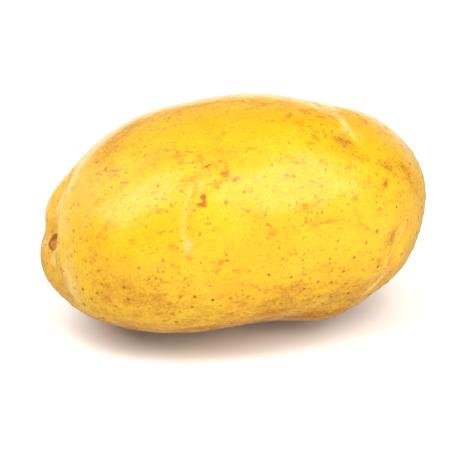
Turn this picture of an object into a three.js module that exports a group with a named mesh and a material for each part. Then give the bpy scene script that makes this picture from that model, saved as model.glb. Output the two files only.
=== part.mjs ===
// A washed yellow potato, one solid tuber lying on a small flat spot.
//
// Millimetres. +X runs along the tuber from its stem end to its bud end, +Z is up, and the
// origin is on the surface that it lies on, below the middle of its box.
import * as THREE from "three";

// Driving dimensions of the plain ellipsoid that the tuber grew from.
const LENGTH = 105;
const WIDTH = 71;
const HEIGHT = 60;
const FULLNESS = 2.3; // 2 is a true ellipsoid, and more fills out the shoulders
const ARCH = 4.5; // how far both ends droop below the middle
const RISE = 3; // how far the bud end stands above the middle, and the stem end below it
const FLAT_SPOT_DEPTH = 0.6; // how much of the underside the resting spot takes off
const SPLITS = 19; // the icosahedron's edges are each cut in SPLITS + 1

// A place on the tuber is [x, y, z] as seen from the middle, each as a share of the half size,
// so [-1, 0, 0] is the stem end and [0, -1, 0] the middle of the front.

// Broad swellings (height over 0) and hollows (height under 0) that make it lopsided.
const LOBES = [
  { at: [-0.5, 0.4, 0.75], spread: 0.4, height: 0.9 }, // broad shoulder above the stem end
  { at: [-0.75, 0.55, 0.35], spread: 0.3, height: -1 }, // where the shoulder falls to the far lip
  { at: [-0.88, 0.3, 0.4], spread: 0.18, height: 1.6 }, // far lip of the stem end, above the scar
  { at: [-0.97, 0.2, -0.08], spread: 0.22, height: 1.1 }, // and below it
  { at: [-0.6, -0.4, -0.7], spread: 0.5, height: -2.5 }, // trimmed belly below the stem end
  { at: [-0.85, 0, -0.5], spread: 0.3, height: -0.8 }, // and its corner
  { at: [0, -0.6, -0.8], spread: 0.3, height: -2 }, // waist
  { at: [0.32, -0.6, -0.8], spread: 0.2, height: 2.2 }, // small second belly
  { at: [0.7, 0, 0.75], spread: 0.2, height: 1 }, // swelling beside the top eye
  { at: [0.6, 0.3, 0.75], spread: 0.3, height: -2 }, // hollow behind the top eye
  { at: [0.95, 0.2, 0.3], spread: 0.4, height: 3 }, // full back of the bud end
  { at: [0.85, -0.55, -0.2], spread: 0.3, height: -1.2 }, // flatter front of the bud end
];

// Long folds: a valley that follows the surface from one place to another.
const FOLDS = [
  { from: [-0.84, 0.2, 0.5], to: [-0.97, 0.02, 0.22], width: 0.09, depth: 1.8 }, // above the stem scar
  { from: [-0.97, 0.02, 0.22], to: [-0.96, -0.2, -0.2], width: 0.1, depth: 1.4 }, // below it
  { from: [-0.97, 0.02, 0.22], to: [-0.85, 0.5, 0.12], width: 0.08, depth: 0.9 }, // behind it
  { from: [0.68, -0.73, 0.03], to: [0.55, -0.72, -0.42], width: 0.08, depth: 0.5 }, // front of the bud end
  { from: [-0.34, -0.62, 0.71], to: [-0.46, -0.88, 0.13], width: 0.07, depth: 0.4 }, // across the front
  { from: [-0.5, 0.75, -0.45], to: [-0.3, 0.9, 0.3], width: 0.1, depth: 0.8 }, // across the back
];

// Eyes: shallow pits that hold the buds.
const EYES = [
  { at: [0.37, -0.5, 0.78], width: 0.1, depth: 0.9 },
  { at: [0.64, -0.77, -0.02], width: 0.09, depth: 0.5 },
  { at: [-0.1, 0.6, 0.78], width: 0.12, depth: 1 },
  { at: [0.4, 0.85, 0.3], width: 0.13, depth: 1.2 },
  { at: [-0.6, 0.8, 0.1], width: 0.12, depth: 1 },
  { at: [0.3, 0.75, -0.6], width: 0.12, depth: 1 },
  { at: [0.85, 0.3, 0.45], width: 0.12, depth: 1.3 },
  { at: [0.97, -0.05, -0.15], width: 0.12, depth: 1.5 },
  { at: [0.8, 0.35, -0.45], width: 0.11, depth: 1 },
  { at: [-0.45, -0.1, -0.9], width: 0.12, depth: 1 },
];

const half = new THREE.Vector3(LENGTH / 2, WIDTH / 2, HEIGHT / 2);

const bell = (distance, width) => Math.exp(-((distance / width) ** 2));

// How far out of the plain ellipsoid the skin stands in one direction.
function relief(direction) {
  let height = 0;
  for (const lobe of LOBES) {
    const centre = new THREE.Vector3(...lobe.at).normalize();
    height += lobe.height * bell(direction.distanceTo(centre), lobe.spread);
  }
  for (const fold of FOLDS) {
    const line = new THREE.Line3(
      new THREE.Vector3(...fold.from).normalize(),
      new THREE.Vector3(...fold.to).normalize(),
    );
    const nearest = line.closestPointToPoint(direction, true, new THREE.Vector3());
    height -= fold.depth * bell(direction.distanceTo(nearest.normalize()), fold.width);
  }
  for (const eye of EYES) {
    const centre = new THREE.Vector3(...eye.at).normalize();
    height -= eye.depth * bell(direction.distanceTo(centre), eye.width);
  }
  return height;
}

// The point of the skin in one direction from the middle.
function skinPoint(direction) {
  const { x, y, z } = direction;
  const power = Math.abs(x) ** FULLNESS + Math.abs(y) ** FULLNESS + Math.abs(z) ** FULLNESS;
  const plain = direction.clone().multiplyScalar(power ** (-1 / FULLNESS)).multiply(half);
  const outward = direction.clone().divide(half).normalize();
  plain.addScaledVector(outward, relief(direction));
  const along = plain.x / half.x;
  plain.z += RISE * along - ARCH * along ** 2;
  return plain;
}

function tuberGeometry() {
  const geometry = new THREE.IcosahedronGeometry(1, SPLITS);
  geometry.deleteAttribute("normal");
  geometry.deleteAttribute("uv");
  const position = geometry.getAttribute("position");
  const direction = new THREE.Vector3();
  for (let i = 0; i < position.count; i++) {
    direction.fromBufferAttribute(position, i).normalize();
    position.setXYZ(i, ...skinPoint(direction));
  }
  geometry.computeBoundingBox();
  const { min, max } = geometry.boundingBox;
  geometry.translate(-(min.x + max.x) / 2, -(min.y + max.y) / 2, -min.z - FLAT_SPOT_DEPTH);
  for (let i = 0; i < position.count; i++) position.setZ(i, Math.max(position.getZ(i), 0));
  geometry.computeVertexNormals();
  return geometry;
}

const skin = new THREE.MeshStandardMaterial({ color: 0xf2c21f, roughness: 0.45, metalness: 0 });
const potato = new THREE.Mesh(tuberGeometry(), skin);
potato.name = "potato";

const part = new THREE.Group();
part.add(potato);

export default part;
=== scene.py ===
"""A washed yellow table potato: one tuber, lying on its side on a small flat spot.

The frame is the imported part's: +X runs from the stem end to the bud end, -Y is the front and
+Z is up. Blender's own lengths are metres. The sizes and places of the skin's marks are
millimetres, read from one side of the potato as from an elevation drawing.
"""

import logging
import math
from dataclasses import dataclass, field
from enum import Enum
from typing import Any, Iterable, Union

import bpy
import numpy as np
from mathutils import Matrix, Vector
from mathutils.bvhtree import BVHTree


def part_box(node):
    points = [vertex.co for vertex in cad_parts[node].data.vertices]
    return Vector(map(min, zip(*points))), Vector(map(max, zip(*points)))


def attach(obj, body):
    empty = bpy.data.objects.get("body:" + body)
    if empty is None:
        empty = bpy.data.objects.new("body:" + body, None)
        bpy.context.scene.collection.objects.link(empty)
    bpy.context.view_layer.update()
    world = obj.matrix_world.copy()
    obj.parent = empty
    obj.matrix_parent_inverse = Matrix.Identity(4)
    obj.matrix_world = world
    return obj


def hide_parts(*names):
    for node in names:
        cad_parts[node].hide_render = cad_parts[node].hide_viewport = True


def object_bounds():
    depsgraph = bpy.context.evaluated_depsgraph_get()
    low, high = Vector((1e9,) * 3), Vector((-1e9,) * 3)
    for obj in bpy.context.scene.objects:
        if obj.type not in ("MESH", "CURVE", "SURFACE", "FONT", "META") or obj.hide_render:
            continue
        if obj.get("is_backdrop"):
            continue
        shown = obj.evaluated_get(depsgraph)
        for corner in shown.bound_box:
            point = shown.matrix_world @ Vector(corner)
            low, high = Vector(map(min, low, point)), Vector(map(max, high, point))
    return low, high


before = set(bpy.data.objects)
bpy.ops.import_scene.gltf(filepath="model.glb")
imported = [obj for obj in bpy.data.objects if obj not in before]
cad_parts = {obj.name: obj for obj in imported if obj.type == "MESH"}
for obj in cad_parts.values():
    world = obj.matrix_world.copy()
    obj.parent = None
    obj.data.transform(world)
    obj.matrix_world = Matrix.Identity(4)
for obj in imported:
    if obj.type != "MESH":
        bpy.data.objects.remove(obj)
LOG = logging.getLogger("potato")

MM = 0.001
TUBER_NODE = "potato"
ROUGH_HEIGHT = 60.0  # the potato's, in millimetres, for shares of the way up
ROUGH_HALF_LENGTH = 54.0  # the potato's, in millimetres, for shares of the way to an end
WELL_OUTSIDE = 200.0  # millimetres from the middle, where lines of sight start
LINE_REACH = 4.5  # millimetres either side of a line in the skin
FAR_AWAY = (0.0, 0.0, 9.0)  # a local place that lies outside every mark
NO_LINE = (LINE_REACH, 0.0, 0.0)  # far from every line, and of no strength

Colour = tuple[float, float, float]


# --------------------------------------------------------------------------- places on the skin


class Side(Enum):
    """The side that a place is read from: the axis looked along, its sense, and the two axes read."""

    FRONT = (1, 1, 0, 2)
    BACK = (1, -1, 0, 2)
    TOP = (2, -1, 0, 1)
    UNDERSIDE = (2, 1, 0, 1)
    STEM_END = (0, 1, 1, 2)
    BUD_END = (0, -1, 1, 2)


@dataclass(frozen=True)
class Place:
    """A place on the skin, as seen from one side, in millimetres from the part's origin."""

    side: Side
    across: float
    up: float

    def ray(self) -> tuple[Vector, Vector]:
        """Gives the line of sight that meets the skin at this place.

        Returns:
            Where the line starts, well outside the potato, and its direction.
        """
        axis, sense, across_axis, up_axis = self.side.value
        start = Vector((0.0, 0.0, 0.0))
        start[axis] = -sense * WELL_OUTSIDE
        start[across_axis] = self.across
        start[up_axis] = self.up
        direction = Vector((0.0, 0.0, 0.0))
        direction[axis] = sense
        return start, direction


def bell(distance: np.ndarray, width: float) -> np.ndarray:
    """Gives 1 in the middle and fades to nothing past about twice the width."""
    return np.exp(-((distance / width) ** 2))


def smooth_step(low: float, high: float, value: np.ndarray) -> np.ndarray:
    """Gives 0 at low, 1 at high and a smooth slope between them. High may be under low."""
    share = np.clip((value - low) / (high - low), 0.0, 1.0)
    return share * share * (3.0 - 2.0 * share)


# --------------------------------------------------------------------------- working with meshes


def only(piece: bpy.types.Object) -> None:
    """Selects one object and nothing else, and makes it the active one."""
    bpy.ops.object.select_all(action="DESELECT")
    piece.select_set(True)
    bpy.context.view_layer.objects.active = piece


def modify(piece: bpy.types.Object, kind: str, **settings: Any) -> None:
    """Gives a piece one modifier and applies it.

    Args:
        piece: The object to change.
        kind: Blender's name for the modifier.
        settings: The modifier's own settings.
    """
    only(piece)
    modifier = piece.modifiers.new(kind.lower(), kind)
    for name, value in settings.items():
        setattr(modifier, name, value)
    bpy.ops.object.modifier_apply(modifier=modifier.name)


class Skin:
    """The tuber's skin as arrays: its points in millimetres, its normals, and what is painted on it."""

    def __init__(self, piece: bpy.types.Object) -> None:
        """Reads the mesh of a piece.

        Args:
            piece: The smooth tuber that the marks are worked into.
        """
        self.mesh = piece.data
        self.count = len(self.mesh.vertices)
        self.points = self._read("co") / MM
        self.normals = self._read("normal")
        self.height = np.zeros(self.count)
        self.layers: dict[str, np.ndarray] = {}
        faces = [tuple(face.vertices) for face in self.mesh.polygons]
        self.tree = BVHTree.FromPolygons([Vector(point) for point in self.points], faces)

    def _read(self, what: str) -> np.ndarray:
        """Reads three numbers for each vertex of the mesh."""
        flat = np.zeros(self.count * 3, np.float32)
        self.mesh.vertices.foreach_get(what, flat)
        return flat.reshape(-1, 3).astype(float)

    def find(self, place: Place) -> tuple[np.ndarray, np.ndarray]:
        """Finds a place on the smooth skin.

        Args:
            place: Where to look.

        Returns:
            The point, in millimetres, and the skin's normal there.
        """
        hit, normal, _, _ = self.tree.ray_cast(*place.ray())
        if hit is None:
            raise ValueError(f"{place} isn't on the potato")
        return np.array(hit), np.array(normal)

    def near(self, point: np.ndarray, reach: float) -> np.ndarray:
        """Lists the vertices within some millimetres of a point."""
        return np.nonzero(((self.points - point) ** 2).sum(1) < reach**2)[0]

    def layer(self, name: str) -> np.ndarray:
        """Gives the painted layer of one number for each vertex, all 0 when it is new."""
        return self.layers.setdefault(name, np.zeros(self.count))

    def local_layer(self, name: str) -> np.ndarray:
        """Gives the painted layer of local places, all of them far away when it is new."""
        return self.layers.setdefault(name, np.tile(FAR_AWAY, (self.count, 1)))

    def lay_line(
        self, chosen: np.ndarray, gap: np.ndarray, along: np.ndarray, strength: np.ndarray
    ) -> None:
        """Stores where a line in the skin runs, so that its paint can be finer than the mesh.

        Args:
            chosen: The vertices around the line.
            gap: How far each is from the line in millimetres, over 0 on the crease's side.
            along: How far along the line each is, in millimetres.
            strength: How clear the line is there, from 0 to 1.
        """
        lines = self.layers.setdefault("line", np.tile(NO_LINE, (self.count, 1)))
        strength = strength * smooth_step(LINE_REACH, 3.0, abs(gap))
        wins = strength > lines[chosen, 2]
        lines[chosen[wins]] = np.stack([gap, along, strength], 1)[wins]

    def write(self) -> None:
        """Moves the vertices by their heights and stores the layers as attributes of the mesh."""
        moved = self.points + self.normals * self.height[:, None]
        moved[:, 2] = np.maximum(moved[:, 2], 0.0)
        self.mesh.vertices.foreach_set("co", (moved * MM).astype(np.float32).ravel())
        self.mesh.update()
        for name, values in self.layers.items():
            kind, key = ("FLOAT", "value") if values.ndim == 1 else ("FLOAT_VECTOR", "vector")
            attribute = self.mesh.attributes.new(name, kind, "POINT")
            attribute.data.foreach_set(key, values.astype(np.float32).ravel())


@dataclass(frozen=True)
class Patch:
    """A flat set of axes laid on the skin at one place: u runs along it and v across it."""

    centre: np.ndarray
    normal: np.ndarray
    u: np.ndarray
    v: np.ndarray

    @classmethod
    def at(cls, centre: np.ndarray, normal: np.ndarray, turn: float = 0.0) -> "Patch":
        """Lays the axes down.

        Args:
            centre: The point on the skin, in millimetres.
            normal: The skin's normal there.
            turn: Degrees from the tuber's length, anticlockwise as seen from outside.

        Returns:
            The patch.
        """
        length = np.array((1.0, 0.0, 0.0)) if abs(normal[0]) < 0.9 else np.array((0.0, 1.0, 0.0))
        along = length - normal * (length @ normal)
        along /= np.linalg.norm(along)
        across = np.cross(normal, along)
        cosine, sine = math.cos(math.radians(turn)), math.sin(math.radians(turn))
        return cls(centre, normal, along * cosine + across * sine, across * cosine - along * sine)

    def local(self, points: np.ndarray) -> np.ndarray:
        """Gives the places of some points along u, v and the normal, in millimetres."""
        offset = points - self.centre
        return np.stack([offset @ self.u, offset @ self.v, offset @ self.normal], 1)


# --------------------------------------------------------------------------- marks in the skin


@dataclass(frozen=True)
class Fold:
    """A fold in the skin: a narrow lip with a pale line along it, partly painted highlight, and a crease
    that runs beside it, darkened with russet and painted shade.

    Walking along the route on the outside of the skin, a positive side is on the left.
    """

    route: tuple[Place, ...]
    lip: float
    lip_width: float
    crease: float
    crease_width: float
    crease_side: int
    stain_and_shade: float
    pale_and_highlight: float = 1.0
    fade_share: float = 0.3

    def work_into(self, skin: Skin) -> None:
        """Raises the lip, sinks the crease, darkens the crease with russet and painted shade, and lays a
        pale line along the lip that is partly painted highlight.
        """
        corners = np.array([skin.find(place)[0] for place in self.route])
        line = self._smooth_line(corners)
        middle = corners.mean(0)
        reach = np.linalg.norm(corners - middle, axis=1).max() + 4.0 * self.crease_width + 2.0
        chosen = skin.near(middle, reach)
        points, normals = skin.points[chosen], skin.normals[chosen]
        gaps = ((points[:, None, :] - line[None, :, :]) ** 2).sum(2)
        nearest = gaps.argmin(1)
        tangent = np.gradient(line, axis=0)
        tangent /= np.linalg.norm(tangent, axis=1, keepdims=True)
        offset = points - line[nearest]
        left = (offset * np.cross(normals, tangent[nearest])).sum(1)
        gap = np.sqrt(gaps.min(1))
        along = nearest / (len(line) - 1)
        fade = smooth_step(0.0, self.fade_share, along)
        fade *= smooth_step(0.0, self.fade_share, 1.0 - along)
        side = np.where(left >= 0, 1.0, -1.0) * gap * self.crease_side
        ridge = bell(side + 0.6 * self.lip_width, self.lip_width) * fade
        valley = bell(side - self.crease_width, self.crease_width) * fade
        skin.height[chosen] += self.lip * ridge - self.crease * valley
        # The crease's darkening: painted shade, mixed with russet.
        skin.layer("russet_and_shade")[chosen] += self.stain_and_shade * valley
        length = np.linalg.norm(np.diff(line, axis=0), axis=1).sum()
        # The lip's pale line: partly painted highlight.
        skin.lay_line(chosen, side, along * length, fade * self.pale_and_highlight)

    @staticmethod
    def _smooth_line(corners: np.ndarray, steps: int = 60) -> np.ndarray:
        """Runs a smooth line through some corners.

        Args:
            corners: The points to pass through.
            steps: How many points the line gets.

        Returns:
            The line's points.
        """
        lengths = np.linalg.norm(np.diff(corners, axis=0), axis=1)
        at = np.concatenate([[0.0], lengths.cumsum()]) / lengths.sum()
        degree = min(3, len(corners) - 1)
        share = np.linspace(0.0, 1.0, steps)
        fits = [np.polyfit(at, corners[:, axis], degree) for axis in range(3)]
        return np.stack([np.polyval(fit, share) for fit in fits], 1)


@dataclass(frozen=True)
class Eye:
    """An eye: a shallow pit under a curved brow, with a small bud in it."""

    place: Place
    turn: float
    size: float
    depth: float
    brow: float
    pale_and_highlight: float = 0.8

    def work_into(self, skin: Skin) -> None:
        """Sinks the pit, raises the brow and the bud, darkens the pit with painted shade mixed with
        russet, and lays a pale line along the brow that is partly painted highlight.
        """
        patch = Patch.at(*skin.find(self.place), self.turn)
        chosen = skin.near(patch.centre, 3.0 * self.size)
        u, v, _ = patch.local(skin.points[chosen]).T
        pit = bell(np.hypot(u, 1.5 * v), self.size)
        arc = 0.55 * self.size - 0.12 * u**2 / self.size
        ridge = bell(v - arc, 0.22 * self.size) * bell(u, 0.9 * self.size)
        bud = bell(np.hypot(u, v + 0.1 * self.size), 0.22 * self.size)
        skin.height[chosen] += self.brow * ridge - self.depth * pit + 0.6 * self.depth * bud
        # The pit's darkening: painted shade, mixed with russet.
        skin.layer("russet_and_shade")[chosen] += 0.5 * pit
        # The brow's pale line: partly painted highlight.
        skin.lay_line(chosen, arc - v, u, self.pale_and_highlight * bell(u, 0.9 * self.size))


@dataclass(frozen=True)
class Stain:
    """A soft patch where the skin is russet, or pale. Beside the folds the russet is partly painted
    shade, and on the lips and brows the pale is partly painted highlight. An amount under 0 takes some
    away.
    """

    place: Place
    amount: float
    length: float
    width: float
    turn: float = 0.0
    layer: str = "russet_and_shade"

    def work_into(self, skin: Skin) -> None:
        """Paints the patch."""
        patch = Patch.at(*skin.find(self.place), self.turn)
        chosen = skin.near(patch.centre, 2.5 * max(self.length, self.width))
        u, v, _ = patch.local(skin.points[chosen]).T
        out = np.hypot(u / self.length, v / self.width)
        skin.layer(self.layer)[chosen] += self.amount * bell(out, 1.0)


@dataclass(frozen=True)
class Streak:
    """A short scuff or scratch. A tone over 0 is brown, and one under 0 is pale."""

    place: Place
    length: float
    width: float
    turn: float
    tone: float

    def work_into(self, skin: Skin) -> None:
        """Stores, for the vertices around the streak, where they are in terms of its half sizes."""
        patch = Patch.at(*skin.find(self.place), self.turn)
        half = np.array((self.length / 2, self.width / 2, 1.0))
        chosen = skin.near(patch.centre, self.length / 2 + 2.5)
        local = patch.local(skin.points[chosen])
        inside = (abs(local[:, 0]) < half[0] + 1.2) & (abs(local[:, 1]) < half[1] + 1.2)
        chosen, local = chosen[inside], local[inside]
        places = skin.local_layer("streak")
        if (places[chosen, 2] < FAR_AWAY[2]).any():
            return
        local[:, 2] = 0.0
        places[chosen] = local / half
        skin.layer("streak_tone")[skin.near(patch.centre, self.length / 2 + 4.0)] = self.tone


@dataclass
class Lenticels:
    """The skin's breathing pores: small brown dots, scattered over it."""

    spacing: float = 2.6
    smallest: float = 0.18
    largest: float = 0.46
    bump_height: float = 0.05
    bump_growth: float = 0.32
    bump_width: float = 0.6
    tries: int = 7000
    seed: int = 11
    _taken: list[np.ndarray] = field(default_factory=list)

    def work_into(self, skin: Skin) -> None:
        """Scatters the lenticels."""
        chance = np.random.default_rng(self.seed)
        for _ in range(self.tries):
            index = int(chance.integers(skin.count))
            roll, size, tone = chance.random(3)
            point, normal = skin.points[index], skin.normals[index]
            if roll < self._crowding(point):
                radius = self.smallest + (self.largest - self.smallest) * size**1.6
                tone = (0.30 + 0.70 * tone) * self._fading(point)
                self._put(skin, point, normal, radius, tone, self._room(point))
        LOG.info("lenticels: %d", len(self._taken))

    @staticmethod
    def _crowding(point: np.ndarray) -> float:
        """Gives how likely a try at a point is kept: more towards the underside and the bud end."""
        low = 1.0 - point[2] / ROUGH_HEIGHT
        bud_end = point[0] / ROUGH_HALF_LENGTH
        return float(np.clip(0.10 + 0.60 * low**1.3 + 0.40 * max(bud_end, 0.0), 0.0, 1.0))

    @staticmethod
    def _fading(point: np.ndarray) -> float:
        """Gives how dark lenticels are around a point: fainter high up, but not at the bud end."""
        high_up = smooth_step(22.0, 38.0, point[2])
        off_bud_end = smooth_step(34.0, 22.0, point[0])
        return 1.0 - 0.5 * float(high_up * off_bud_end)

    def _room(self, point: np.ndarray) -> float:
        """Gives how far apart lenticels stay around a point, in millimetres."""
        return self.spacing + 1.2 * point[2] / ROUGH_HEIGHT

    def _put(
        self, skin: Skin, point: np.ndarray, normal: np.ndarray, radius: float, tone: float, room: float
    ) -> None:
        """Puts one lenticel down, unless another is too near.

        Args:
            skin: The skin to work into.
            point: Its middle, in millimetres.
            normal: The skin's normal there.
            radius: The radius of its dark middle, in millimetres.
            tone: How dark it is, from 0 to 1.
            room: How far off the next one must be, in millimetres.
        """
        if self._taken and (((np.array(self._taken) - point) ** 2).sum(1) < room**2).any():
            return
        self._taken.append(np.array(point))
        patch = Patch.at(np.array(point), np.array(normal))
        chosen = skin.near(patch.centre, max(2.4 * radius, radius + 0.55))
        local = patch.local(skin.points[chosen])
        local[:, 2] = 0.0
        skin.local_layer("dot")[chosen] = local / radius
        wide = skin.near(patch.centre, 1.24)
        skin.layer("dot_tone")[wide] = tone
        around = np.hypot(*patch.local(skin.points[wide]).T[:2])
        bump = self.bump_height + self.bump_growth * radius * tone
        skin.height[wide] += bump * bell(around, self.bump_width)


@dataclass(frozen=True)
class StemScar:
    """The round scar that the stolon left: a torn brown rim around a lighter, sunken middle."""

    place: Place = Place(Side.STEM_END, 1.4, 26.8)
    radius: float = 2.3
    depth: float = 0.5
    rim: float = 0.25

    def work_into(self, skin: Skin) -> None:
        """Sinks the middle, raises the rim and stores the places that its paint needs."""
        patch = Patch.at(*skin.find(self.place))
        chosen = skin.near(patch.centre, 4.0 * self.radius)
        local = patch.local(skin.points[chosen])
        out = np.hypot(local[:, 0], local[:, 1])
        angle = np.arctan2(local[:, 1], local[:, 0])
        ragged = 1.0 + 0.12 * np.sin(3.0 * angle + 0.7) + 0.07 * np.sin(7.0 * angle)
        middle = smooth_step(self.radius, 0.5 * self.radius, out * ragged)
        ring = bell(out * ragged - self.radius, 0.28 * self.radius)
        skin.height[chosen] += self.rim * ring - self.depth * middle
        skin.layer("russet_and_shade")[chosen] += 0.45 * bell(out, 1.7 * self.radius)
        local[:, 2] = 0.0
        close = out < 2.6 * self.radius
        skin.local_layer("scar")[chosen[close]] = local[close] / self.radius


@dataclass(frozen=True)
class Scab:
    """A healed nick in the skin: two joined spots of cork, one above the other."""

    place: Place
    size: float
    depth: float = 0.12

    def work_into(self, skin: Skin) -> None:
        """Sinks the nick a little and stores the places that its paint needs."""
        patch = Patch.at(*skin.find(self.place))
        chosen = skin.near(patch.centre, 3.2 * self.size)
        local = patch.local(skin.points[chosen])
        skin.height[chosen] -= self.depth * bell(np.hypot(local[:, 0], local[:, 1]), 1.4 * self.size)
        local[:, 2] = 0.0
        skin.local_layer("scab")[chosen] = local / self.size


# --------------------------------------------------------------------------- the tuber's shape


@dataclass
class Tuber:
    """The potato's skin, one closed mesh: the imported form, with the detail of real skin worked in."""

    name: str = "potato_skin"
    face_size: float = 0.56
    form_levels: int = 2
    merge_distance: float = 1e-5
    lump_size: float = 13.0
    lump_height: float = 0.5
    ripple_size: float = 3.2
    ripple_height: float = 0.10

    def build(self, marks: Iterable[Any]) -> bpy.types.Object:
        """Models the whole skin.

        Args:
            marks: What is worked into the skin, in order.

        Returns:
            The finished piece.
        """
        form = self._smooth_form()
        piece = self._ball()
        modify(piece, "SHRINKWRAP", target=form, wrap_method="PROJECT", use_negative_direction=True)
        modify(piece, "REMESH", mode="VOXEL", voxel_size=self.face_size * MM)
        modify(piece, "SHRINKWRAP", target=form, wrap_method="NEAREST_SURFACEPOINT")
        bpy.data.objects.remove(form, do_unlink=True)
        self._roughen(piece, "lumps", self.lump_size, self.lump_height)
        self._roughen(piece, "ripples", self.ripple_size, self.ripple_height)
        skin = Skin(piece)
        for mark in marks:
            mark.work_into(skin)
        self._paint_russet_and_underside_shade(skin)
        skin.write()
        only(piece)
        bpy.ops.object.shade_smooth()
        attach(piece, "root")
        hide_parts(TUBER_NODE)
        LOG.info("%s: %d vertices, %d faces", self.name, skin.count, len(piece.data.polygons))
        return piece

    def _smooth_form(self) -> bpy.types.Object:
        """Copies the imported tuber, merges its loose triangles and rounds its facets.

        Returns:
            The rounded form, which is only wrapped onto.
        """
        only(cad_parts[TUBER_NODE])
        bpy.ops.object.duplicate()
        form = bpy.context.view_layer.objects.active
        bpy.ops.object.mode_set(mode="EDIT")
        bpy.ops.mesh.select_all(action="SELECT")
        bpy.ops.mesh.remove_doubles(threshold=self.merge_distance)
        bpy.ops.object.mode_set(mode="OBJECT")
        modify(form, "SUBSURF", levels=self.form_levels, render_levels=self.form_levels)
        return form

    def _ball(self) -> bpy.types.Object:
        """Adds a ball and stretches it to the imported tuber's box."""
        low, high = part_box(TUBER_NODE)
        bpy.ops.object.select_all(action="DESELECT")
        bpy.ops.mesh.primitive_ico_sphere_add(subdivisions=6, radius=1.0, location=(0.0, 0.0, 0.0))
        ball = bpy.context.view_layer.objects.active
        ball.name = self.name
        ball.data.name = self.name
        bpy.ops.object.mode_set(mode="EDIT")
        bpy.ops.mesh.select_all(action="SELECT")
        bpy.ops.transform.resize(value=(high - low) / 2)
        bpy.ops.transform.translate(value=(low + high) / 2)
        bpy.ops.object.mode_set(mode="OBJECT")
        return ball

    def _roughen(self, piece: bpy.types.Object, name: str, size: float, height: float) -> None:
        """Gives the skin an even unevenness.

        Args:
            piece: The tuber.
            name: What the unevenness is called.
            size: How wide its swellings are, in millimetres.
            height: How far the highest stands above the lowest, in millimetres.
        """
        clouds = bpy.data.textures.new(name, "CLOUDS")
        clouds.noise_scale = size * MM
        clouds.noise_depth = 1
        settings = {"texture": clouds, "texture_coords": "LOCAL", "mid_level": 0.5}
        modify(piece, "DISPLACE", strength=height * MM, **settings)
        bpy.data.textures.remove(clouds)

    def _paint_russet_and_underside_shade(self, skin: Skin) -> None:
        """Paints soft russet that deepens towards the bottom, partly painted shade of the underside,
        with a little more towards the bud end and the back.
        """
        x, y, z = skin.points.T
        russet_and_shade = skin.layer("russet_and_shade")
        # Darker towards the bottom: russet dust mixed with painted shade of the underside.
        russet_and_shade += 0.12 + 0.45 * smooth_step(30.0, 12.0, z) + 0.95 * smooth_step(15.0, 5.0, z)
        russet_and_shade += 0.04 * smooth_step(28.0, 50.0, x)
        russet_and_shade += 0.10 * smooth_step(-8.0, 25.0, y)


# --------------------------------------------------------------------------- shader maths

Value = Union["Wire", float]


class Wire:
    """One output of a shader node. Python's operators on it add Math nodes."""

    def __init__(self, sheet: "NodeSheet", socket: bpy.types.NodeSocket) -> None:
        """Wraps a socket.

        Args:
            sheet: The sheet that new nodes go on.
            socket: The output.
        """
        self.sheet = sheet
        self.socket = socket

    def _math(self, operation: str, first: Value, second: Value) -> "Wire":
        """Adds one Math node with two inputs."""
        return self.sheet.node("ShaderNodeMath", {"operation": operation}, {0: first, 1: second})

    def __add__(self, other: Value) -> "Wire":
        """Adds."""
        return self._math("ADD", self, other)

    __radd__ = __add__

    def __sub__(self, other: Value) -> "Wire":
        """Takes the other from this."""
        return self._math("SUBTRACT", self, other)

    def __rsub__(self, other: Value) -> "Wire":
        """Takes this from the other."""
        return self._math("SUBTRACT", other, self)

    def __mul__(self, other: Value) -> "Wire":
        """Multiplies."""
        return self._math("MULTIPLY", self, other)

    __rmul__ = __mul__

    def at_least(self, other: Value) -> "Wire":
        """Takes the larger of the two."""
        return self._math("MAXIMUM", self, other)

    def at_most(self, other: Value) -> "Wire":
        """Takes the smaller of the two."""
        return self._math("MINIMUM", self, other)

    def ramp(self, low: float, high: float) -> "Wire":
        """Gives 0 at low, 1 at high and a smooth slope between them. High may be under low."""
        first, second = (low, high) if low < high else (high, low)
        ends = (0.0, 1.0) if low < high else (1.0, 0.0)
        return self.sheet.node(
            "ShaderNodeMapRange",
            {"interpolation_type": "SMOOTHSTEP"},
            {0: self, 1: first, 2: second, 3: ends[0], 4: ends[1]},
        )


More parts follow.
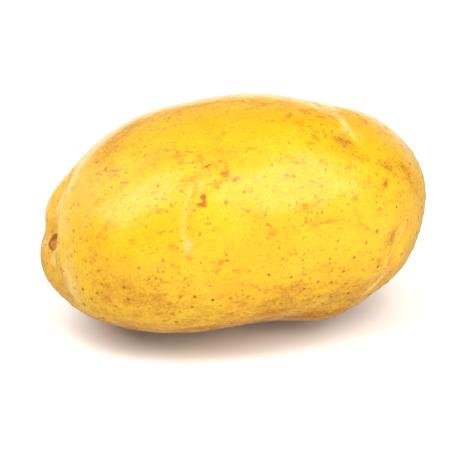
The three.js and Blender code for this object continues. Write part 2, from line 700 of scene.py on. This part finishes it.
class NodeSheet:
    """A node tree under construction."""

    def __init__(self, tree: bpy.types.NodeTree) -> None:
        """Starts with an empty tree.

        Args:
            tree: The tree of a material or a world.
        """
        self.tree = tree
        tree.nodes.clear()

    def node(
        self,
        kind: str,
        settings: dict[str, Any] | None = None,
        inputs: dict[int | str, Any] | None = None,
        output: int | str = 0,
    ) -> Wire:
        """Adds a node.

        Args:
            kind: The node's type.
            settings: Its settings, which are set first.
            inputs: The values or wires of its sockets, by index or name.
            output: Which output to give back, by index or name.

        Returns:
            The chosen output.
        """
        made = self.tree.nodes.new(kind)
        for name, value in (settings or {}).items():
            setattr(made, name, value)
        for key, value in (inputs or {}).items():
            if isinstance(value, Wire):
                self.tree.links.new(value.socket, made.inputs[key])
            else:
                made.inputs[key].default_value = value
        return Wire(self, made.outputs[output]) if len(made.outputs) else Wire(self, None)

    def attribute(self, name: str, output: str = "Fac") -> Wire:
        """Reads a painted layer of the mesh."""
        return self.node("ShaderNodeAttribute", {"attribute_name": name}, output=output)

    def length(self, vector: Wire) -> Wire:
        """Measures a vector."""
        return self.node("ShaderNodeVectorMath", {"operation": "LENGTH"}, {0: vector}, "Value")

    def noise(
        self, at: Wire, size: float, detail: float = 2.0, roughness: float = 0.5, output: str = "Fac"
    ) -> Wire:
        """Adds noise.

        Args:
            at: The coordinates, in metres.
            size: About how wide its blotches are, in millimetres.
            detail: How many finer layers it has.
            roughness: How strong the finer layers are.
            output: "Fac" for one number, or "Color" for three.

        Returns:
            The chosen output.
        """
        inputs = {"Vector": at, "Scale": 1.0 / (size * MM), "Detail": detail, "Roughness": roughness}
        return self.node("ShaderNodeTexNoise", {}, inputs, output)

    def stretched(self, at: Wire, scale: Colour, turn: Colour = (0.0, 0.0, 0.0)) -> Wire:
        """Turns and squeezes the coordinates, so that a pattern on them comes out stretched."""
        inputs = {"Vector": at, "Scale": scale, "Rotation": [math.radians(angle) for angle in turn]}
        return self.node("ShaderNodeMapping", {}, inputs)

    def blend(self, factor: Value, low: Any, high: Any) -> Wire:
        """Goes from one colour to another as the factor goes from 0 to 1."""
        inputs = {0: factor, 6: self._colour(low), 7: self._colour(high)}
        return self.node("ShaderNodeMix", {"data_type": "RGBA"}, inputs, 2)

    def shaken(self, local: Wire, noise: Wire, amount: float) -> Wire:
        """Moves local places about by a colour noise, so that a round mark comes out ragged."""
        centred = self.node(
            "ShaderNodeVectorMath", {"operation": "SUBTRACT"}, {0: noise, 1: (0.5, 0.5, 0.5)}
        )
        scaled = self.node("ShaderNodeVectorMath", {"operation": "SCALE"}, {0: centred, "Scale": amount})
        return self.node("ShaderNodeVectorMath", {"operation": "ADD"}, {0: local, 1: scaled})

    def spot(self, local: Wire, centre: Colour, half: Colour) -> Wire:
        """Measures the way out from a spot: 1 lies on the edge of an oval.

        Args:
            local: The local places.
            centre: The middle of the oval.
            half: Its half sizes.

        Returns:
            The measure.
        """
        offset = self.node("ShaderNodeVectorMath", {"operation": "SUBTRACT"}, {0: local, 1: centre})
        scaled = self.node("ShaderNodeVectorMath", {"operation": "DIVIDE"}, {0: offset, 1: half})
        return self.length(scaled)

    @staticmethod
    def _colour(value: Any) -> Any:
        """Gives a plain colour the alpha that a socket wants."""
        return value if isinstance(value, Wire) else (*value, 1.0)


# --------------------------------------------------------------------------- finishes


@dataclass(frozen=True)
class SkinFinish:
    """Washed yellow potato skin: golden, faintly mottled, with russet dust, lenticels and scuffs,
    painted shade in the creases, the pits and towards the underside, and pale lines and patches that are
    partly painted highlight.
    """

    golden: Colour = (0.77, 0.435, 0.002)
    lemon: Colour = (0.77, 0.49, 0.008)
    amber: Colour = (0.72, 0.33, 0.003)
    rust: Colour = (0.58, 0.21, 0.003)
    ochre: Colour = (0.47, 0.19, 0.008)
    cork: Colour = (0.40, 0.11, 0.015)
    brown: Colour = (0.22, 0.055, 0.004)
    rusty_brown: Colour = (0.24, 0.040, 0.003)
    dark: Colour = (0.24, 0.07, 0.025)
    cream: Colour = (0.90, 0.63, 0.28)
    tan: Colour = (0.48, 0.14, 0.006)
    flesh: Colour = (0.62, 0.27, 0.05)
    reflection: Colour = (1.0, 0.85, 0.32)
    sheen_colour: Colour = (1.0, 0.84, 0.66)
    gloss: float = 0.32
    dull: float = 0.8
    specular: float = 0.5
    wax: float = 1.0
    wax_roughness: float = 0.25
    glow: float = 0.10
    glow_spread: Colour = (1.0, 0.55, 0.12)
    glow_depth: float = 1.2
    sheen: float = 0.04
    sheen_roughness: float = 0.25

    def make(self) -> bpy.types.Material:
        """Builds the material.

        Returns:
            The skin's material.
        """
        material = bpy.data.materials.new("potato_skin")
        material.use_nodes = True
        sheet = NodeSheet(material.node_tree)
        at = sheet.node("ShaderNodeTexCoord", output="Object")
        russet_and_shade = self._russet_and_shade(sheet, at)
        specks, smudges = self._specks(sheet, at)
        dots, halos = self._dots(sheet, at)
        scuffs, scratches = self._streaks(sheet, at)
        scar, scar_middle = self._scar(sheet, at)
        scab = self._scab(sheet, at)
        lines, wrinkles = self._lines(sheet, at)
        # Pale patches: partly painted highlight on the lips and brows.
        pale_and_highlight = sheet.attribute("pale_and_highlight") * sheet.noise(at, 1.5, 3.0, 0.6).ramp(0.25, 0.6)

        colour = self._ground(sheet, at)
        colour = sheet.blend(smudges * 0.65, colour, self.rust)
        # Russet and painted shade: ochre, and brown where the layer is thickest.
        colour = sheet.blend(russet_and_shade.at_most(0.95), colour, self.ochre)
        colour = sheet.blend(russet_and_shade.ramp(0.7, 1.8) * 0.7, colour, self.brown)
        colour = sheet.blend(specks * 0.7, colour, self.tan)
        # Cream over pale patches, wrinkles and the lips' lines: partly painted highlight.
        colour = sheet.blend((pale_and_highlight * 0.7).at_most(0.8), colour, self.cream)
        colour = sheet.blend(wrinkles * 0.6, colour, self.cream)
        colour = sheet.blend(lines * 0.9, colour, self.cream)
        colour = sheet.blend(scratches * 0.45, colour, self.cream)
        colour = sheet.blend(scuffs * 0.8, colour, self.brown)
        colour = sheet.blend(halos * 0.35, colour, self.tan)
        colour = sheet.blend(dots, colour, self.rusty_brown)
        colour = sheet.blend(scab * 0.92, colour, self.cork)
        colour = sheet.blend(scar * 0.9, colour, self.dark)
        colour = sheet.blend(scar_middle * 0.9, colour, self.flesh)

        fine = sheet.noise(at, 0.9, 3.0, 0.6)
        worn = dots.at_least(russet_and_shade.at_most(1.0) * 0.6).at_least(scar).at_least(scab)
        roughness = self.gloss + (fine - 0.5) * 0.25 + worn * (self.dull - self.gloss)
        flecks = 0.35 + 0.6 * sheet.noise(at, 0.8, 3.0, 0.7).ramp(0.39, 0.61)
        height = self._relief(sheet, at, dots, russet_and_shade) + wrinkles * 0.02 + lines * 0.03 + scar * 0.05
        normal = sheet.node("ShaderNodeBump", inputs={"Strength": 1.0, "Distance": MM, "Height": height})
        sheet.node(
            "ShaderNodeOutputMaterial",
            inputs={
                "Surface": sheet.node(
                    "ShaderNodeBsdfPrincipled",
                    inputs={
                        "Base Color": colour,
                        "Roughness": roughness,
                        "Normal": normal,
                        "IOR": 1.5,
                        "Specular IOR Level": self.specular,
                        "Specular Tint": (*self.reflection, 1.0),
                        "Coat Weight": self.wax * flecks * (1.0 - worn),
                        "Coat Roughness": self.wax_roughness,
                        "Subsurface Weight": self.glow,
                        "Subsurface Radius": self.glow_spread,
                        "Subsurface Scale": self.glow_depth * MM,
                        "Sheen Weight": self.sheen,
                        "Sheen Roughness": self.sheen_roughness,
                        "Sheen Tint": (*self.sheen_colour, 1.0),
                    },
                )
            },
        )
        return material

    def _ground(self, sheet: NodeSheet, at: Wire) -> Wire:
        """Mixes the clean skin: golden, with lemon and amber clouds and a faint grain."""
        colour = sheet.blend(sheet.noise(at, 16.0, 2.0).ramp(0.35, 0.7), self.golden, self.lemon)
        clouds = sheet.noise(at, 4.5, 4.0, 0.6).ramp(0.50, 0.78)
        colour = sheet.blend(clouds * 0.45, colour, self.amber)
        grain = sheet.noise(at, 0.7, 3.0, 0.65)
        colour = sheet.blend(grain.ramp(0.44, 0.68) * 0.55, colour, self.amber)
        return sheet.blend(grain.ramp(0.52, 0.30) * 0.25, colour, self.lemon)

    def _russet_and_shade(self, sheet: NodeSheet, at: Wire) -> Wire:
        """Breaks the painted russet and shade up into fine dust."""
        stain_and_shade = sheet.attribute("russet_and_shade").at_least(0.0)
        dust = sheet.noise(at, 0.7, 4.0, 0.7).ramp(0.35, 0.68)
        clouds = sheet.noise(sheet.stretched(at, (0.55, 1.0, 1.0)), 3.5, 3.0, 0.6).ramp(0.3, 0.7)
        return stain_and_shade * (0.45 + 0.75 * dust) * (0.35 + 0.95 * clouds)

    def _specks(self, sheet: NodeSheet, at: Wire) -> tuple[Wire, Wire]:
        """Scatters small rusty specks in loose clusters, and wider soft smudges along the tuber."""
        cells = sheet.node(
            "ShaderNodeTexVoronoi", inputs={"Vector": at, "Scale": 1.0 / (1.5 * MM)}, output="Distance"
        )
        clusters = sheet.noise(at, 7.0, 3.0, 0.6)
        density = clusters.ramp(0.45, 0.64) + sheet.attribute("russet_and_shade").at_least(0.0) * 0.7
        frayed = cells + (sheet.noise(at, 0.4, 2.0) - 0.5) * 0.45
        specks = frayed.ramp(0.38, 0.18) * density.at_most(1.0)
        streaky = sheet.noise(sheet.stretched(at, (0.45, 1.0, 1.0), (0.0, 12.0, 0.0)), 2.6, 4.0, 0.65)
        smudges = streaky.ramp(0.52, 0.66) * (0.30 + 0.90 * density.at_most(1.0))
        return specks, smudges

    def _dots(self, sheet: NodeSheet, at: Wire) -> tuple[Wire, Wire]:
        """Draws the lenticels: their dark middles and the rusty rings around them."""
        local = sheet.attribute("dot", "Vector")
        ragged = sheet.shaken(local, sheet.noise(at, 0.5, 2.0, output="Color"), 1.3)
        out = sheet.length(ragged)
        tone = sheet.attribute("dot_tone")
        return out.ramp(1.45, 0.6) * tone, out.ramp(2.4, 0.9) * tone

    def _streaks(self, sheet: NodeSheet, at: Wire) -> tuple[Wire, Wire]:
        """Draws the short marks: brown scuffs and pale scratches."""
        local = sheet.attribute("streak", "Vector")
        ragged = sheet.shaken(local, sheet.noise(at, 0.7, 3.0, output="Color"), 1.1)
        mark = sheet.length(ragged).ramp(1.2, 0.5)
        tone = sheet.attribute("streak_tone")
        return mark * tone.at_least(0.0), mark * (0.0 - tone).at_least(0.0)

    def _scar(self, sheet: NodeSheet, at: Wire) -> tuple[Wire, Wire]:
        """Draws the stem scar: the whole of it, and its lighter middle."""
        local = sheet.attribute("scar", "Vector")
        ragged = sheet.shaken(local, sheet.noise(at, 1.1, 3.0, output="Color"), 0.5)
        out = sheet.length(ragged)
        crumbs = sheet.noise(at, 0.5, 3.0, 0.7).ramp(0.35, 0.6)
        return out.ramp(1.14, 0.9), out.ramp(0.9, 0.6) * (0.45 + 0.55 * crumbs)

    def _scab(self, sheet: NodeSheet, at: Wire) -> Wire:
        """Draws the scab's two joined spots, the upper one tall and the lower one wide."""
        local = sheet.attribute("scab", "Vector")
        ragged = sheet.shaken(local, sheet.noise(at, 0.7, 3.0, output="Color"), 1.8)
        upper = sheet.spot(ragged, (0.25, 0.6, 0.0), (0.62, 1.0, 1.0))
        lower = sheet.spot(ragged, (-0.3, -0.55, 0.0), (1.0, 0.62, 1.0))
        return upper.at_most(lower).ramp(1.4, 0.6)

    def _lines(self, sheet: NodeSheet, at: Wire) -> tuple[Wire, Wire]:
        """Draws the folds' lips as pale lines, partly painted highlight, and the fine wrinkles that run
        beside them.
        """
        line = sheet.attribute("line", "Vector")
        split = {
            axis: sheet.node("ShaderNodeSeparateXYZ", inputs={0: line}, output=axis) for axis in "XYZ"
        }
        gap = split["X"] + (sheet.noise(at, 2.5, 2.0) - 0.5) * 1.2
        strength = split["Z"] * sheet.noise(at, 3.0, 3.0, 0.6).ramp(0.18, 0.46)
        distance = sheet.node("ShaderNodeMath", {"operation": "ABSOLUTE"}, {0: gap})
        lips = distance.ramp(0.8, 0.25) * strength
        run = sheet.node("ShaderNodeCombineXYZ", inputs={0: gap * 1.5, 1: split["Y"] * 0.16})
        ripple = sheet.node("ShaderNodeTexNoise", inputs={"Vector": run, "Scale": 1.0, "Detail": 2.0})
        return lips, ripple.ramp(0.5, 0.66) * distance.ramp(3.4, 0.6) * strength

    def _relief(self, sheet: NodeSheet, at: Wire, dots: Wire, russet_and_shade: Wire) -> Wire:
        """Adds up the relief that is finer than the mesh, in millimetres."""
        net = sheet.noise(at, 1.15, 4.0, 0.72)
        pores = sheet.noise(at, 0.42, 2.0, 0.6)
        return net * 0.45 + pores * 0.09 + dots * 0.03 + russet_and_shade.at_most(1.0) * pores * 0.04


@dataclass(frozen=True)
class FloorFinish:
    """A plain pale matt floor."""

    colour: Colour = (0.97, 0.97, 0.97)
    roughness: float = 0.9

    def make(self) -> bpy.types.Material:
        """Builds the material."""
        material = bpy.data.materials.new("pale_floor")
        material.use_nodes = True
        sheet = NodeSheet(material.node_tree)
        sheet.node(
            "ShaderNodeOutputMaterial",
            inputs={
                "Surface": sheet.node(
                    "ShaderNodeBsdfPrincipled",
                    inputs={
                        "Base Color": (*self.colour, 1.0),
                        "Roughness": self.roughness,
                        "Specular IOR Level": 0.0,
                    },
                )
            },
        )
        return material


# --------------------------------------------------------------------------- studio


@dataclass(frozen=True)
class Softbox:
    """A large soft lamp, aimed at the potato."""

    name: str
    azimuth: float
    elevation: float
    width: float
    height: float
    power: float
    in_reflections: bool = True
    distance: float = 2.5

    def hang(self, target: Vector) -> None:
        """Hangs the lamp.

        Args:
            target: What it is aimed at.
        """
        light = bpy.data.lights.new(self.name, "AREA")
        light.shape = "RECTANGLE"
        light.size = self.width
        light.size_y = self.height
        light.energy = self.power
        lamp = bpy.data.objects.new(self.name, light)
        bpy.context.scene.collection.objects.link(lamp)
        back = direction_to(self.azimuth, self.elevation)
        lamp.location = target + back * self.distance
        lamp.rotation_mode = "QUATERNION"
        lamp.rotation_quaternion = (-back).to_track_quat("-Z", "Y")
        lamp.visible_glossy = self.in_reflections


def direction_to(azimuth: float, elevation: float) -> Vector:
    """Gives the direction from the potato to something around it.

    Args:
        azimuth: Degrees around it. 0 is in front, and 90 is past the bud end.
        elevation: Degrees above the horizon.

    Returns:
        The unit vector.
    """
    turn, rise = math.radians(azimuth), math.radians(elevation)
    return Vector((math.sin(turn) * math.cos(rise), -math.cos(turn) * math.cos(rise), math.sin(rise)))


@dataclass(frozen=True)
class Viewpoint:
    """Where the camera stands, in degrees around the potato and metres from what it looks at.

    Its aim is in millimetres from the middle of the potato.
    """

    azimuth: float = -20.0
    elevation: float = 22.0
    distance: float = 0.4215
    lens: float = 120.0
    aim: tuple[float, float, float] = (-4.4, -1.0, -6.1)

    def place(self, middle: Vector) -> None:
        """Puts the camera up and makes it the scene's.

        Args:
            middle: The middle of the potato's box.
        """
        data = bpy.data.cameras.new("camera")
        data.lens = self.lens
        data.clip_start = 0.01
        data.clip_end = 50.0
        camera = bpy.data.objects.new("camera", data)
        bpy.context.scene.collection.objects.link(camera)
        back = direction_to(self.azimuth, self.elevation)
        camera.location = middle + Vector(self.aim) * MM + back * self.distance
        camera.rotation_mode = "QUATERNION"
        camera.rotation_quaternion = (-back).to_track_quat("-Z", "Y")
        bpy.context.scene.camera = camera


@dataclass(frozen=True)
class Studio:
    """The pale floor, the soft lamps and the surroundings."""

    floor_size: float = 12.0
    horizon: float = 2.0
    overhead: float = 0.02
    below: float = 0.32
    front_share: float = 0.15
    upper_edge: tuple[float, float] = (0.22, 0.05)
    lower_edge: tuple[float, float] = (-0.20, -0.02)
    lamps: tuple[Softbox, ...] = (
        Softbox("front_right", 35.0, 46.0, 2.2, 2.4, 67.0),
        Softbox("low_front", 2.0, 12.0, 3.4, 0.8, 27.0, in_reflections=False),
        Softbox("left", -88.0, 52.0, 1.7, 2.0, 49.0),
        Softbox("left_back", -135.0, 38.0, 1.8, 1.8, 12.0),
        Softbox("back", 170.0, 30.0, 2.0, 1.5, 14.0, in_reflections=False),
        Softbox("top", 0.0, 86.0, 2.4, 2.0, 25.0, in_reflections=False),
    )

    def build(self, middle: Vector) -> None:
        """Sets everything up around the potato.

        Args:
            middle: The middle of the potato's box.
        """
        bpy.context.scene.view_settings.view_transform = "Standard"
        self._floor()
        self._surroundings()
        for lamp in self.lamps:
            lamp.hang(middle)

    def _floor(self) -> None:
        """Lays the floor just under the potato. It lights the skin, but isn't mirrored in it."""
        bpy.ops.object.select_all(action="DESELECT")
        bpy.ops.mesh.primitive_plane_add(size=self.floor_size, location=(0.0, 0.0, -0.0001))
        floor = bpy.context.view_layer.objects.active
        floor.name = "floor"
        floor.data.materials.append(FloorFinish().make())
        floor.visible_glossy = False
        floor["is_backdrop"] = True

    def _surroundings(self) -> None:
        """Paints the surroundings: white at the horizon, most of all behind, dark above, grey below."""
        world = bpy.data.worlds.new("surroundings")
        bpy.context.scene.world = world
        world.use_nodes = True
        sheet = NodeSheet(world.node_tree)
        direction = sheet.node("ShaderNodeTexCoord", output="Generated")
        rise = sheet.node("ShaderNodeSeparateXYZ", inputs={0: direction}, output="Z")
        depth = sheet.node("ShaderNodeSeparateXYZ", inputs={0: direction}, output="Y")
        behind = self.front_share + (1.0 - self.front_share) * depth.ramp(0.5, 0.9)
        band = rise.ramp(*self.upper_edge) * rise.ramp(*self.lower_edge) * behind
        under = rise.ramp(*reversed(self.lower_edge)) * self.below
        strength = self.overhead + band * (self.horizon - self.overhead) + under
        white = {"Color": (1.0, 1.0, 1.0, 1.0), "Strength": strength}
        background = sheet.node("ShaderNodeBackground", inputs=white)
        sheet.node("ShaderNodeOutputWorld", inputs={"Surface": background})


# --------------------------------------------------------------------------- this potato


def front(across: float, up: float) -> Place:
    """Gives a place as seen from the front."""
    return Place(Side.FRONT, across, up)


def top(across: float, up: float) -> Place:
    """Gives a place as seen from above."""
    return Place(Side.TOP, across, up)


def stem_end(across: float, up: float) -> Place:
    """Gives a place as seen from the stem end."""
    return Place(Side.STEM_END, across, up)


FOLDS = (
    # The deep fold across the stem end, with its lip towards the front.
    Fold(
        (
            stem_end(11, 46), stem_end(7, 41.5), stem_end(2, 38.3), stem_end(-2, 35.2), stem_end(-5, 32),
            stem_end(-7.6, 28.5), stem_end(-9.2, 24.7), stem_end(-9.8, 20), stem_end(-10, 15.5),
        ),
        lip=0.35, lip_width=0.7, crease=1.1, crease_width=0.9, crease_side=-1, stain_and_shade=0.3,
    ),
    # The brow of the big eye on top, which fans out towards the front.
    Fold(
        (top(21.5, 4), top(23.3, -4), top(23.7, -10.5), top(24.8, -16.5), top(26.5, -22)),
        lip=0.2, lip_width=1.0, crease=0.35, crease_width=1.5, crease_side=-1, stain_and_shade=0.35, pale_and_highlight=0.4,
    ),
    # The fold across the front of the bud end.
    Fold(
        (front(38.5, 31), front(35, 26.5), front(31.5, 22), front(31, 15)),
        lip=0.35, lip_width=0.8, crease=0.75, crease_width=1.2, crease_side=1, stain_and_shade=0.6, pale_and_highlight=0.8,
    ),
    # The shallow crease across the front.
    Fold(
        (front(-19.5, 50.5), front(-23.8, 45), front(-25.7, 40), front(-26, 36.5), front(-25.9, 30)),
        lip=0.08, lip_width=0.5, crease=0.22, crease_width=1.2, crease_side=1, stain_and_shade=0.3, pale_and_highlight=0.13,
    ),
)

EYES = (
    Eye(top(20.5, -19.5), -65, 2.8, 0.35, 0.12, 0.2),
    Eye(Place(Side.BACK, -4, 50), 10, 3.2, 0.6, 0.4),
    Eye(Place(Side.BACK, 20, 37), -15, 3.4, 0.7, 0.45),
    Eye(Place(Side.BACK, -30, 30), 20, 3.0, 0.5, 0.35),
    Eye(Place(Side.BACK, 15, 14), 5, 3.0, 0.5, 0.35),
    Eye(Place(Side.BUD_END, 12, 42), 30, 2.8, 0.7, 0.4),
    Eye(Place(Side.BUD_END, -2, 27), 0, 3.2, 0.9, 0.5),
    Eye(Place(Side.BUD_END, 14, 17), -20, 2.6, 0.6, 0.35),
    Eye(Place(Side.UNDERSIDE, -22, -3), 0, 3.0, 0.5, 0.3),
)

STAINS = (
    # The top eye and its brow. The pale patches along the brow are partly painted highlight.
    Stain(top(21.5, -19.5), 0.55, 4.0, 2.0, -50),
    Stain(top(20, -24), 0.4, 3.0, 1.6, -40),
    Stain(top(30, -6), 0.35, 5, 3, 20),
    Stain(top(23, -3), 0.9, 2.0, 5.5, layer="pale_and_highlight"),
    Stain(top(24.5, -12.5), 0.7, 0.9, 3.0, layer="pale_and_highlight"),
    Stain(top(27, -17), 0.5, 0.5, 2.2, 15, layer="pale_and_highlight"),
    Stain(top(22.6, -15.5), 0.4, 0.5, 1.6, -10, layer="pale_and_highlight"),
    # The upper side.
    Stain(top(-27, 8), 0.6, 9, 4, 10),
    Stain(top(-36, 2), 0.5, 6, 4, 20),
    Stain(top(-27, -12), 0.6, 4, 2.5, 20),
    Stain(top(-13, -21), 0.45, 4, 2.5, -20),
    Stain(top(-8, 6), 0.4, 13, 4),
    Stain(top(8, -4), 0.25, 12, 5),
    # The bud end and its fold. The russet beside the fold is partly painted shade.
    Stain(front(31, 28.8), 1.2, 2.6, 1.3, 50),
    Stain(front(33.5, 30), 0.5, 3.5, 1.6, 50),
    Stain(front(31.5, 24), 0.5, 1.0, 4.5, -15),
    Stain(front(28.5, 15), 0.9, 4.5, 1.0, 35, layer="pale_and_highlight"),
    Stain(front(35.2, 21.5), -0.5, 2.0, 4.0),
    Stain(front(38, 44), 0.55, 3.5, 6, 30),
    Stain(front(42, 36), 0.35, 3.0, 8),
    Stain(front(30, 43), 1.1, 2.0, 0.8, 50),
    Stain(front(34, 39.5), 0.6, 1.4, 1.0, 40),
    Stain(front(32, 46), 1.3, 2.4, 1.1, -35),
    Stain(front(39, 43), 1.0, 1.2, 2.4, 25),
    # The front and its crease. The pale patch on the crease is partly painted highlight.
    Stain(front(-24.7, 39.3), 0.6, 0.8, 1.8),
    Stain(front(-25, 32.2), 0.7, 0.8, 0.8),
    Stain(front(-25.0, 35.2), 0.8, 0.8, 1.6, layer="pale_and_highlight"),
    Stain(front(-17, 51.8), 1.9, 1.6, 0.8, 10),
    Stain(front(-13.5, 50.6), 1.8, 1.2, 0.8, -15),
    Stain(front(-11, 49.3), 1.8, 1.0, 0.7, 20),
    Stain(front(-21, 49.5), 1.4, 2.8, 1.0, 15),
    Stain(front(20, 38), 0.5, 1.8, 0.8, -30),
    # The lower front.
    Stain(front(-42, 24), 0.30, 7, 4),
    Stain(front(-34, 21), 0.30, 8, 6),
    Stain(front(-2, 19), 0.45, 7, 4),
    Stain(front(3, 14), 0.5, 12, 3),
    Stain(front(18, 16), 0.4, 8, 3),
    # The stem end. The pale patches near the lip and the scar are partly painted highlight.
    Stain(front(-46, 33), 0.3, 4, 6),
    Stain(stem_end(-13, 21), 0.7, 2.5, 7, 10, layer="pale_and_highlight"),
    Stain(stem_end(-1.7, 23.2), 1.0, 1.5, 1.3, layer="pale_and_highlight"),
)

SCAB = Scab(front(-20.2, 45.1), 1.2)

STREAKS = (
    Streak(front(8.4, 47.3), 2.4, 0.5, -30, 0.8),
    Streak(front(-28, 51.3), 1.8, 0.5, 20, 0.6),
    Streak(top(21, -18.6), 1.5, 0.6, -50, 0.9),
    Streak(top(-3, -27), 2.6, 0.3, 5, -0.6),
    Streak(top(6, -25), 2.2, 0.3, -8, -0.5),
    Streak(front(20, 45), 2.4, 0.3, 75, -0.5),
    Streak(front(24, 44), 2.0, 0.3, 70, -0.5),
)

LENTICELS = Lenticels()


def dress_and_light(marks: Iterable[Any]) -> None:
    """Builds the potato and the studio around it.

    Args:
        marks: What is worked into the skin.
    """
    low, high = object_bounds()
    middle = (low + high) / 2
    Viewpoint().place(middle)
    potato = Tuber().build(marks)
    potato.data.materials.clear()
    potato.data.materials.append(SkinFinish().make())
    LOG.info("potato dressed")
    Studio().build(middle)


def main() -> None:
    """Builds the scene."""
    logging.basicConfig(level=logging.INFO, format="%(name)s: %(message)s")
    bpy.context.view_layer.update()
    dress_and_light((*FOLDS, *EYES, StemScar(), SCAB, *STAINS, *STREAKS, LENTICELS))


if __name__ == "__main__":
    main()
